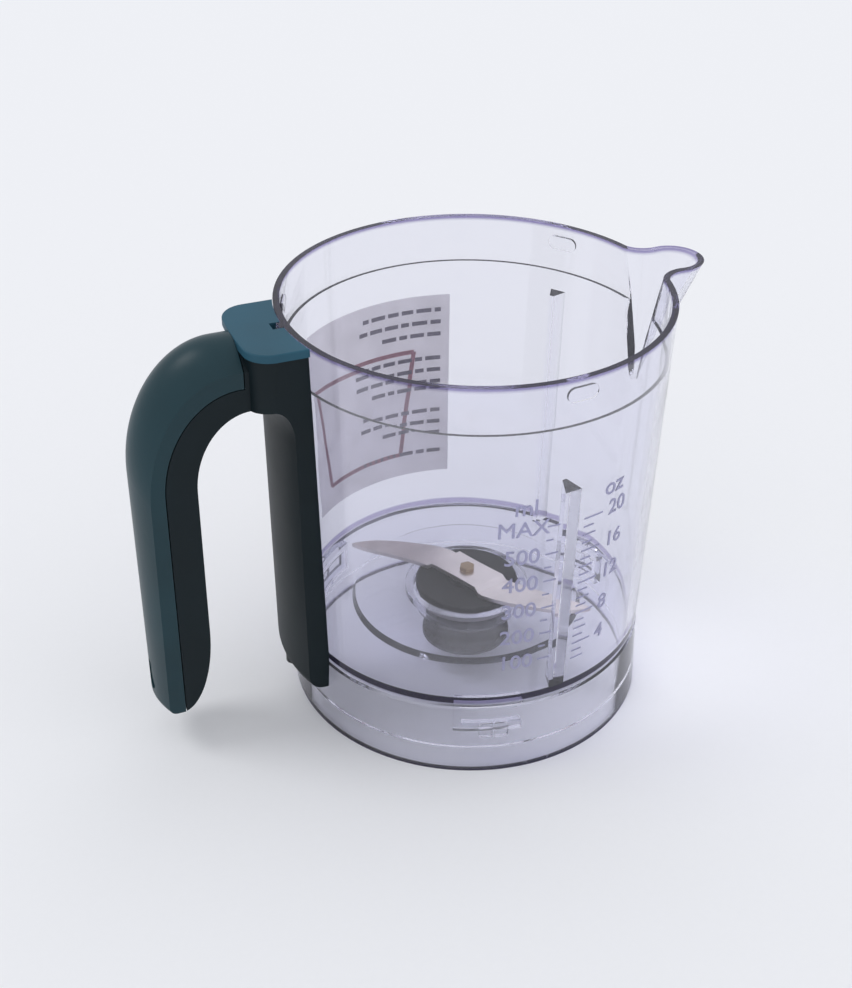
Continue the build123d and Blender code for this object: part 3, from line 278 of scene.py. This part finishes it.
def label_film(colour):
    """Matt calendered film: pale and slightly cloudy, so light from behind comes through."""
    material, tree, place = new_material("polyester_film_matt")
    cloud = add_node(tree, "ShaderNodeTexNoise", {"Scale": feature(9), "Detail": 5},
                     {"Vector": place}).outputs["Fac"]
    shade = tinted(tree, cloud, 0.3, 0.7, scaled(colour, 0.93), colour)
    front = add_node(tree, "ShaderNodeBsdfPrincipled", {"Roughness": 0.5, "IOR": 1.45},
                     {"Base Color": shade})
    through = add_node(tree, "ShaderNodeBsdfTranslucent", links={"Color": shade})
    both = add_node(tree, "ShaderNodeMixShader", {0: 0.6},
                    {1: front.outputs[0], 2: through.outputs[0]})
    close_material(tree, both.outputs[0])
    return material


def printed_ink(name, colour):
    """Screen-printed ink: flat, with the faint mottle of the mesh it was pushed through."""
    material, tree, place = new_material(name)
    mottle = add_node(tree, "ShaderNodeTexNoise", {"Scale": feature(0.8), "Detail": 3},
                      {"Vector": place}).outputs["Fac"]
    shade = tinted(tree, mottle, 0.3, 0.7, scaled(colour, 0.85), scaled(colour, 1.1))
    body = add_node(tree, "ShaderNodeBsdfPrincipled", {"Roughness": 0.6}, {"Base Color": shade})
    close_material(tree, body.outputs[0])
    return material


def floor_paper(colour):
    """Seamless backdrop paper: pale and matt, with a barely visible tooth."""
    material, tree, place = new_material("backdrop_paper")
    tooth = add_node(tree, "ShaderNodeTexNoise", {"Scale": feature(2), "Detail": 3},
                     {"Vector": place}).outputs["Fac"]
    shade = tinted(tree, tooth, 0.2, 0.8, scaled(colour, 0.99), colour)
    body = add_node(tree, "ShaderNodeBsdfPrincipled",
                    {"Roughness": 0.9, "Specular IOR Level": 0.0}, {"Base Color": shade})
    close_material(tree, body.outputs[0])
    return material


# ---------------------------------------------------------------- sizes and colours


class JugFinish(bpy.types.PropertyGroup):
    """Colours of the jug's materials, with the handle's one green painted in lit and shaded tones.
    """

    tint: FloatVectorProperty(
        name="Clear tint", description="Colour that each clear surface passes",
        subtype="COLOR", default=linear("#FAFAFF"))
    # painted shade, partly the plastic's own deeper colour: the violet of the dark rings that
    # refraction shows
    edge: FloatVectorProperty(
        name="Edge tint", description="Colour of the clear plastic at its thick rings",
        subtype="COLOR", default=linear("#8C82B4"))
    depth: FloatVectorProperty(
        name="Depth colour", description="What a long way through the clear plastic leaves",
        subtype="COLOR", default=linear("#9C9CE0"))
    density: FloatProperty(
        name="Depth density", description="How fast the clear plastic darkens, per metre",
        default=12.0, min=0.0)
    # plate, cover and body: one green in three tones, the plate's lighter tone painted light on
    # the top and the cover's and body's darker tones painted shade on the sides
    plate: FloatVectorProperty(
        name="Plate green, painted lit", description="Moulded plastic of the handle's top plate",
        subtype="COLOR", default=linear("#2B5567"))
    cover: FloatVectorProperty(
        name="Cover green, painted part shade", description="Moulded plastic of the handle's cover",
        subtype="COLOR", default=linear("#17353D"))
    body: FloatVectorProperty(
        name="Body green, painted shade", description="Moulded plastic of the handle's body",
        subtype="COLOR", default=linear("#0C1A1F"))
    charcoal: FloatVectorProperty(
        name="Charcoal", description="Nylon of the hub disc, nut and coupling",
        subtype="COLOR", default=linear("#191A1D"))
    steel: FloatVectorProperty(
        name="Blade steel", description="Ground stainless steel",
        subtype="COLOR", default=linear("#F0E8E6"))
    film: FloatVectorProperty(
        name="Label film", description="Film of the label",
        subtype="COLOR", default=linear("#FFFDFF"))


class JugScale(bpy.types.PropertyGroup):
    """Sizes of the raised scale on the front wall."""

    foot_radius: FloatProperty(
        name="Wall foot radius", description="Outer radius of the wall above the skirt",
        default=57.9 * MM, unit="LENGTH")
    foot_height: FloatProperty(
        name="Wall foot height", description="Height of the wall's foot",
        default=26.4 * MM, unit="LENGTH")
    first: FloatProperty(
        name="First mark", description="Height of the lowest line, 100 ml",
        default=42.5 * MM, unit="LENGTH")
    step: FloatProperty(
        name="Mark spacing", description="Height between lines 100 ml apart",
        default=9.95 * MM, unit="LENGTH")
    relief: FloatProperty(
        name="Relief", description="How far the marks stand proud of the wall",
        default=0.22 * MM, unit="LENGTH")
    stroke: FloatProperty(
        name="Stroke", description="Width of the scale's lines",
        default=0.5 * MM, unit="LENGTH")
    digit: FloatProperty(
        name="Digit height", description="Height of the scale's numbers",
        default=5.2 * MM, unit="LENGTH")


class JugStage(bpy.types.PropertyGroup):
    """Camera and light."""

    turn: FloatProperty(
        name="Camera turn", description="Direction that the camera looks in, from +Y",
        default=radians(22.81), subtype="ANGLE")
    tilt: FloatProperty(
        name="Camera tilt", description="How far the camera looks down",
        default=radians(32.89), subtype="ANGLE")
    roll: FloatProperty(
        name="Camera roll", description="Turn about the line of sight",
        default=radians(0.655), subtype="ANGLE")
    distance: FloatProperty(
        name="Camera distance", description="From the camera to the point it looks at",
        default=0.5, unit="LENGTH")
    target: FloatVectorProperty(
        name="Target", description="Point that the camera looks at",
        default=(-0.0093, 0.0145, 0.0605), subtype="TRANSLATION")
    lens: FloatProperty(
        name="Lens", description="Focal length on a 36 mm frame",
        default=54.21, unit="CAMERA")
    sky: FloatProperty(
        name="Sky", description="Strength of the even light from all round", default=0.87)
    sun: FloatProperty(
        name="Key light", description="Strength of the broad key light", default=0.62)


def wall_radius(z):
    """Outer radius of the jug's wall at a height, from the frame's rim and the wall's foot."""
    sizes = bpy.context.scene.jug_scale
    share = (z - sizes.foot_height) / (RIM_HEIGHT - sizes.foot_height)
    return sizes.foot_radius + (RIM_RADIUS - sizes.foot_radius) * share


# ---------------------------------------------------------------- helpers for pieces


def piece_from(shape, name, material, body, replaces=()):
    """Turn a bmesh into a piece that rides on a body, with its finish."""
    mesh = bpy.data.meshes.new(name)
    shape.to_mesh(mesh)
    shape.free()
    piece = bpy.data.objects.new(name, mesh)
    bpy.context.scene.collection.objects.link(piece)
    piece.data.materials.append(material)
    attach(piece, body)
    if replaces:
        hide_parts(*replaces)
    return piece


def finish_node(node, material):
    """Give a CAD node its material."""
    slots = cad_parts[node].material_slots
    for place in slots:
        place.material = material
    if not slots:
        raise RuntimeError(f"{node} has no material slot")


def smooth_to(piece, angle):
    """Shade a piece smooth wherever its faces meet at less than an angle."""
    piece.data.shade_smooth()
    piece.data.set_sharp_from_angle(angle=angle)


def wrap_on_wall(shape, azimuth, z, lift):
    """Bend a flat shape round the jug's wall: its x runs round, y up and z outwards."""
    for vert in shape.verts:
        height = z + vert.co.y
        radius = wall_radius(height) + lift + vert.co.z
        angle = azimuth + vert.co.x / wall_radius(z)
        vert.co = (radius * cos(angle), radius * sin(angle), height)


def flat_bar(width, height, depth, cuts=1):
    """Flat bar in the xy plane with its back at z = 0, cut across so that it can bend."""
    shape = bmesh.new()
    bmesh.ops.create_cube(shape, size=1)
    bmesh.ops.scale(shape, vec=(width, height, depth), verts=shape.verts)
    bmesh.ops.translate(shape, vec=(0, 0, depth / 2), verts=shape.verts)
    along = [e for e in shape.edges if abs(e.verts[0].co.x - e.verts[1].co.x) > width / 2]
    bmesh.ops.subdivide_edges(shape, edges=along, cuts=cuts)
    return shape


def flat_text(words, height, depth, align):
    """Raised lettering in the xy plane, with its back at z = 0."""
    curve = bpy.data.curves.new("lettering", "FONT")
    curve.body = words
    curve.size = height / 0.7
    curve.extrude = depth / 2
    curve.bevel_depth = depth / 4
    curve.bevel_resolution = 0
    curve.align_x = align
    curve.align_y = "CENTER"
    holder = bpy.data.objects.new("lettering", curve)
    mesh = bpy.data.meshes.new_from_object(holder)
    shape = bmesh.new()
    shape.from_mesh(mesh)
    bmesh.ops.translate(shape, vec=(0, 0, depth / 2), verts=shape.verts)
    bmesh.ops.remove_doubles(shape, verts=shape.verts, dist=JOIN)
    bpy.data.objects.remove(holder)
    bpy.data.curves.remove(curve)
    bpy.data.meshes.remove(mesh)
    return shape


def pour_into(target, shape):
    """Add one bmesh to another and free it."""
    mesh = bpy.data.meshes.new("part")
    shape.to_mesh(mesh)
    shape.free()
    target.from_mesh(mesh)
    bpy.data.meshes.remove(mesh)


# ---------------------------------------------------------------- operators


class JUG_OT_vessel(bpy.types.Operator):
    """Give the moulded vessel its clear finish"""

    bl_idname = "jug.vessel"
    bl_label = "Clear vessel"

    def execute(self, context):
        look = context.scene.jug_finish
        finish_node("jug_body",
                    clear_copolyester(look.tint, look.edge, look.depth, look.density))
        return {"FINISHED"}


class JUG_OT_scale(bpy.types.Operator):
    """Add the raised millilitre and ounce scales to the front wall"""

    bl_idname = "jug.scale"
    bl_label = "Raised scale"

    def execute(self, context):
        sizes = context.scene.jug_scale
        marks = bmesh.new()
        back = -SUNK

        def line(azimuth, z, width):
            bar = flat_bar(width, sizes.stroke, sizes.relief, cuts=5)
            wrap_on_wall(bar, azimuth, z, back)
            pour_into(marks, bar)

        def words(text, azimuth, z, height, align):
            letters = flat_text(text, height, sizes.relief, align)
            wrap_on_wall(letters, azimuth, z, back)
            pour_into(marks, letters)

        top = sizes.first + 5 * sizes.step
        for i in range(6):
            z = sizes.first + i * sizes.step
            line(ML_LINE, z, ML_WIDTH)
            text = "MAX" if i == 5 else str(100 * (i + 1))
            words(text, ML_NUMBER, z, sizes.digit, "CENTER")
            if i < 5:
                line(ML_HALF_LINE, z + sizes.step / 2, ML_HALF_WIDTH)
        words("ml", ML_UNIT, top + 0.75 * sizes.step, sizes.digit, "CENTER")
        for amount in range(2, 21):
            z = sizes.first + (amount * OUNCE - 100) / 100 * sizes.step
            long = amount % 4 == 0
            width = OUNCE_LONG if long else OUNCE_ODD if amount % 2 else OUNCE_EVEN
            line(OUNCE_START + width / 2 / RIM_RADIUS, z, width)
            if long:
                words(str(amount), OUNCE_NUMBER, z, sizes.digit, "LEFT")
        words("oz", OUNCE_UNIT, top + 0.7 * sizes.step, sizes.digit * 1.1, "LEFT")
        piece_from(marks, "volume_scale", raised_marks(linear("#C9C8E6")), JUG)
        return {"FINISHED"}


class JUG_OT_label(bpy.types.Operator):
    """Replace the label's plain solid by a film with generic print"""

    bl_idname = "jug.label"
    bl_label = "Label"

    def execute(self, context):
        look = context.scene.jug_finish
        low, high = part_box("jug_label")
        start, end = radians(LABEL_START), radians(LABEL_END)
        middle = (start + end) / 2
        centre_z = (low.z + high.z) / 2
        width = (end - start) * wall_radius(centre_z)
        film = flat_bar(width, high.z - low.z, FILM_T, cuts=40)
        wrap_on_wall(film, middle, centre_z, FILM_LIFT)
        piece_from(film, "label_sheet", label_film(look.film), JUG,
                   replaces=["jug_label"])
        print_grey = bmesh.new()
        for row in range(LINE_COUNT):
            z = high.z - TOP_MARGIN - row * LINE_GAP
            if row % 4 == 3:
                continue
            cursor = start + radians(3)
            share = 0
            stop = start + (end - start) * (0.55 if row % 4 < 2 else 0.4)
            while cursor < stop:
                word = (2.2 + 3.4 * abs(sin(row * 2.7 + share * 1.9))) * MM
                bar = flat_bar(word, LINE_H, INK_T, cuts=3)
                wrap_on_wall(bar, cursor + word / 2 / wall_radius(z), z, INK_LIFT)
                pour_into(print_grey, bar)
                cursor += (word + WORD_GAP) / wall_radius(z)
                share += 1
        piece_from(print_grey, "label_lines", printed_ink("screen_ink_grey", linear("#A39EA8")),
                   JUG)
        cup = bmesh.new()
        for i, (x, y) in enumerate(CUP_CORNERS):
            to_x, to_y = CUP_CORNERS[(i + 1) % len(CUP_CORNERS)]
            length = hypot(to_x - x, to_y - y) * MM
            stroke = flat_bar(length, CUP_STROKE, INK_T, cuts=12)
            turn = Matrix.Rotation(atan2(to_y - y, to_x - x), 4, "Z")
            place = Matrix.Translation(((x + to_x) / 2 * MM, (y + to_y) / 2 * MM, 0))
            bmesh.ops.transform(stroke, matrix=place @ turn, verts=stroke.verts)
            wrap_on_wall(stroke, middle + radians(5), centre_z, CUP_LIFT)
            pour_into(cup, stroke)
        piece_from(cup, "label_cup", printed_ink("screen_ink_red", linear("#D9A3AC")),
                   JUG)
        return {"FINISHED"}


class JUG_OT_handle(bpy.types.Operator):
    """Give the handle's pieces and their fasteners their finishes, the one green painted lighter
    on the top plate and darker as shade on the cover and body
    """

    bl_idname = "jug.handle"
    bl_label = "Handle"

    def execute(self, context):
        look = context.scene.jug_finish
        # painted light and shade: one green as a lit plate, a part-shaded cover and a shaded body
        plate = moulded_plastic("abs_green_plate_painted_lit", look.plate, 0.5, 0.35, 0.04, 0.2)
        cover = moulded_plastic("abs_green_satin_painted_part_shade", look.cover, 0.38, 0.35, 0.05, 0.28)
        body = moulded_plastic("abs_green_spark_textured_painted_shade", look.body, 0.5, 0.35, 0.06, 0.2)
        finish_node("handle_top_plate", plate)
        finish_node("handle_body", body)
        for node in ("handle_cover", "screw_plug"):
            finish_node(node, cover)
        finish_node("cover_screw", ground_metal("zinc_plated_steel", linear("#B9B6A8"), 0.35, 0.3))
        return {"FINISHED"}


class JUG_OT_interlock(bpy.types.Operator):
    """Give the lid interlock's rod, guide and spring their finishes"""

    bl_idname = "jug.interlock"
    bl_label = "Lid interlock"

    def execute(self, context):
        finish_node("interlock_rod", moulded_plastic("acetal_dark", linear("#1B1D20"), 0.35,
                                                     0.5, 0.02))
        finish_node("rod_guide", moulded_plastic("acetal_dark_guide", linear("#1B1D20"), 0.4,
                                                 0.5, 0.02))
        finish_node("rod_spring", ground_metal("spring_steel_drawn", linear("#8E9093"), 0.3,
                                               0.2, turned=True))
        return {"FINISHED"}


class JUG_OT_blades(bpy.types.Operator):
    """Give the blade unit's pieces their finishes"""

    bl_idname = "jug.blades"
    bl_label = "Blade unit"

    def execute(self, context):
        look = context.scene.jug_finish
        nylon = moulded_plastic("glass_filled_nylon_charcoal", look.charcoal, 0.5, 0.5, 0.05,
                                0.25)
        for node in ("bearing_housing", "retaining_nut", "hub_disc", "drive_coupling",
                     "blade_spacer", "nut_washer"):
            finish_node(node, nylon)
        silicone = moulded_plastic("silicone_moulded", linear("#C9C6C2"), 0.55, 1.2, 0.03)
        for node in ("housing_gasket", "shaft_seal"):
            finish_node(node, silicone)
        finish_node("thrust_washer", moulded_plastic("ptfe_skived", linear("#EDEBE6"), 0.5,
                                                     0.8, 0.02))
        bronze = sintered_bronze(linear("#A8763F"))
        for node in ("upper_bush", "lower_bush", "coupling_insert"):
            finish_node(node, bronze)
        finish_node("blade", ground_metal("stainless_sheet_ground", look.steel, 0.3, 0.5))
        finish_node("blade_bolt", ground_metal("stainless_bolt_tinted", linear("#A8937A"), 0.35,
                                               0.3, turned=True))
        turned = ground_metal("stainless_bar_turned", look.steel, 0.25, 0.3, turned=True)
        for node in ("drive_shaft", "shaft_clip"):
            finish_node(node, turned)
        return {"FINISHED"}


class JUG_OT_stage(bpy.types.Operator):
    """Lay the floor and set the light and the camera"""

    bl_idname = "jug.stage"
    bl_label = "Stage"

    def execute(self, context):
        stage = context.scene.jug_stage
        ground = bmesh.new()
        bmesh.ops.create_grid(ground, x_segments=1, y_segments=1, size=6)
        mesh = bpy.data.meshes.new("floor")
        ground.to_mesh(mesh)
        ground.free()
        floor = bpy.data.objects.new("floor", mesh)
        context.scene.collection.objects.link(floor)
        mesh.materials.append(floor_paper(linear("#EFF0F2")))

        world = bpy.data.worlds.new("studio")
        world.use_nodes = True
        world.node_tree.nodes.clear()
        sky = add_node(world.node_tree, "ShaderNodeBackground",
                       {"Color": (*linear("#FAFBFF"), 1), "Strength": stage.sky})
        add_node(world.node_tree, "ShaderNodeOutputWorld", links={"Surface": sky.outputs[0]})
        context.scene.world = world

        key = bpy.data.lights.new("key", "SUN")
        key.energy = stage.sun
        key.angle = radians(22)
        lamp = bpy.data.objects.new("key", key)
        context.scene.collection.objects.link(lamp)
        lamp.rotation_euler = Vector((0.55, -0.25, -1.0)).to_track_quat("-Z", "Y").to_euler()

        eye = bpy.data.cameras.new("view")
        eye.lens = stage.lens
        eye.sensor_width = 36
        eye.clip_end = 20
        camera = bpy.data.objects.new("view", eye)
        context.scene.collection.objects.link(camera)
        aim = (Matrix.Rotation(-stage.turn, 4, "Z") @ Matrix.Rotation(pi / 2 - stage.tilt, 4, "X")
               @ Matrix.Rotation(stage.roll, 4, "Z"))
        back = aim.to_3x3() @ Vector((0, 0, stage.distance))
        camera.matrix_world = Matrix.Translation(Vector(stage.target) + back) @ aim
        context.scene.camera = camera
        context.scene.view_settings.view_transform = "Standard"
        rays = context.scene.cycles
        rays.max_bounces = rays.transmission_bounces = 24
        rays.transparent_max_bounces = 24
        rays.caustics_reflective = False
        return {"FINISHED"}


class JUG_PT_panel(bpy.types.Panel):
    """Lists the jug's operators and settings"""

    bl_idname = "JUG_PT_panel"
    bl_label = "Blending jug"
    bl_space_type = "VIEW_3D"
    bl_region_type = "UI"
    bl_category = "Blending jug"

    def draw(self, context):
        for operator in OPERATORS:
            self.layout.operator(operator.bl_idname)
        for name in GROUPS:
            group = getattr(context.scene, name)
            for setting in group.bl_rna.properties.keys():
                if setting not in ("rna_type", "name"):
                    self.layout.prop(group, setting)


OPERATORS = (JUG_OT_vessel, JUG_OT_scale, JUG_OT_label, JUG_OT_handle, JUG_OT_interlock,
             JUG_OT_blades, JUG_OT_stage)
GROUPS = {"jug_finish": JugFinish, "jug_scale": JugScale, "jug_stage": JugStage}


def register():
    """Register the add-on's classes and hang its settings on the scene."""
    for item in (*GROUPS.values(), *OPERATORS, JUG_PT_panel):
        bpy.utils.register_class(item)
    for name, group in GROUPS.items():
        setattr(bpy.types.Scene, name, PointerProperty(type=group))


def unregister():
    """Take the settings and the classes away again."""
    for name in GROUPS:
        delattr(bpy.types.Scene, name)
    for item in reversed((*GROUPS.values(), *OPERATORS, JUG_PT_panel)):
        bpy.utils.unregister_class(item)


def main():
    """Build every piece in order."""
    register()
    bpy.ops.jug.vessel()
    bpy.ops.jug.scale()
    bpy.ops.jug.label()
    bpy.ops.jug.handle()
    bpy.ops.jug.interlock()
    bpy.ops.jug.blades()
    bpy.ops.jug.stage()


if __name__ == "__main__":
    main()
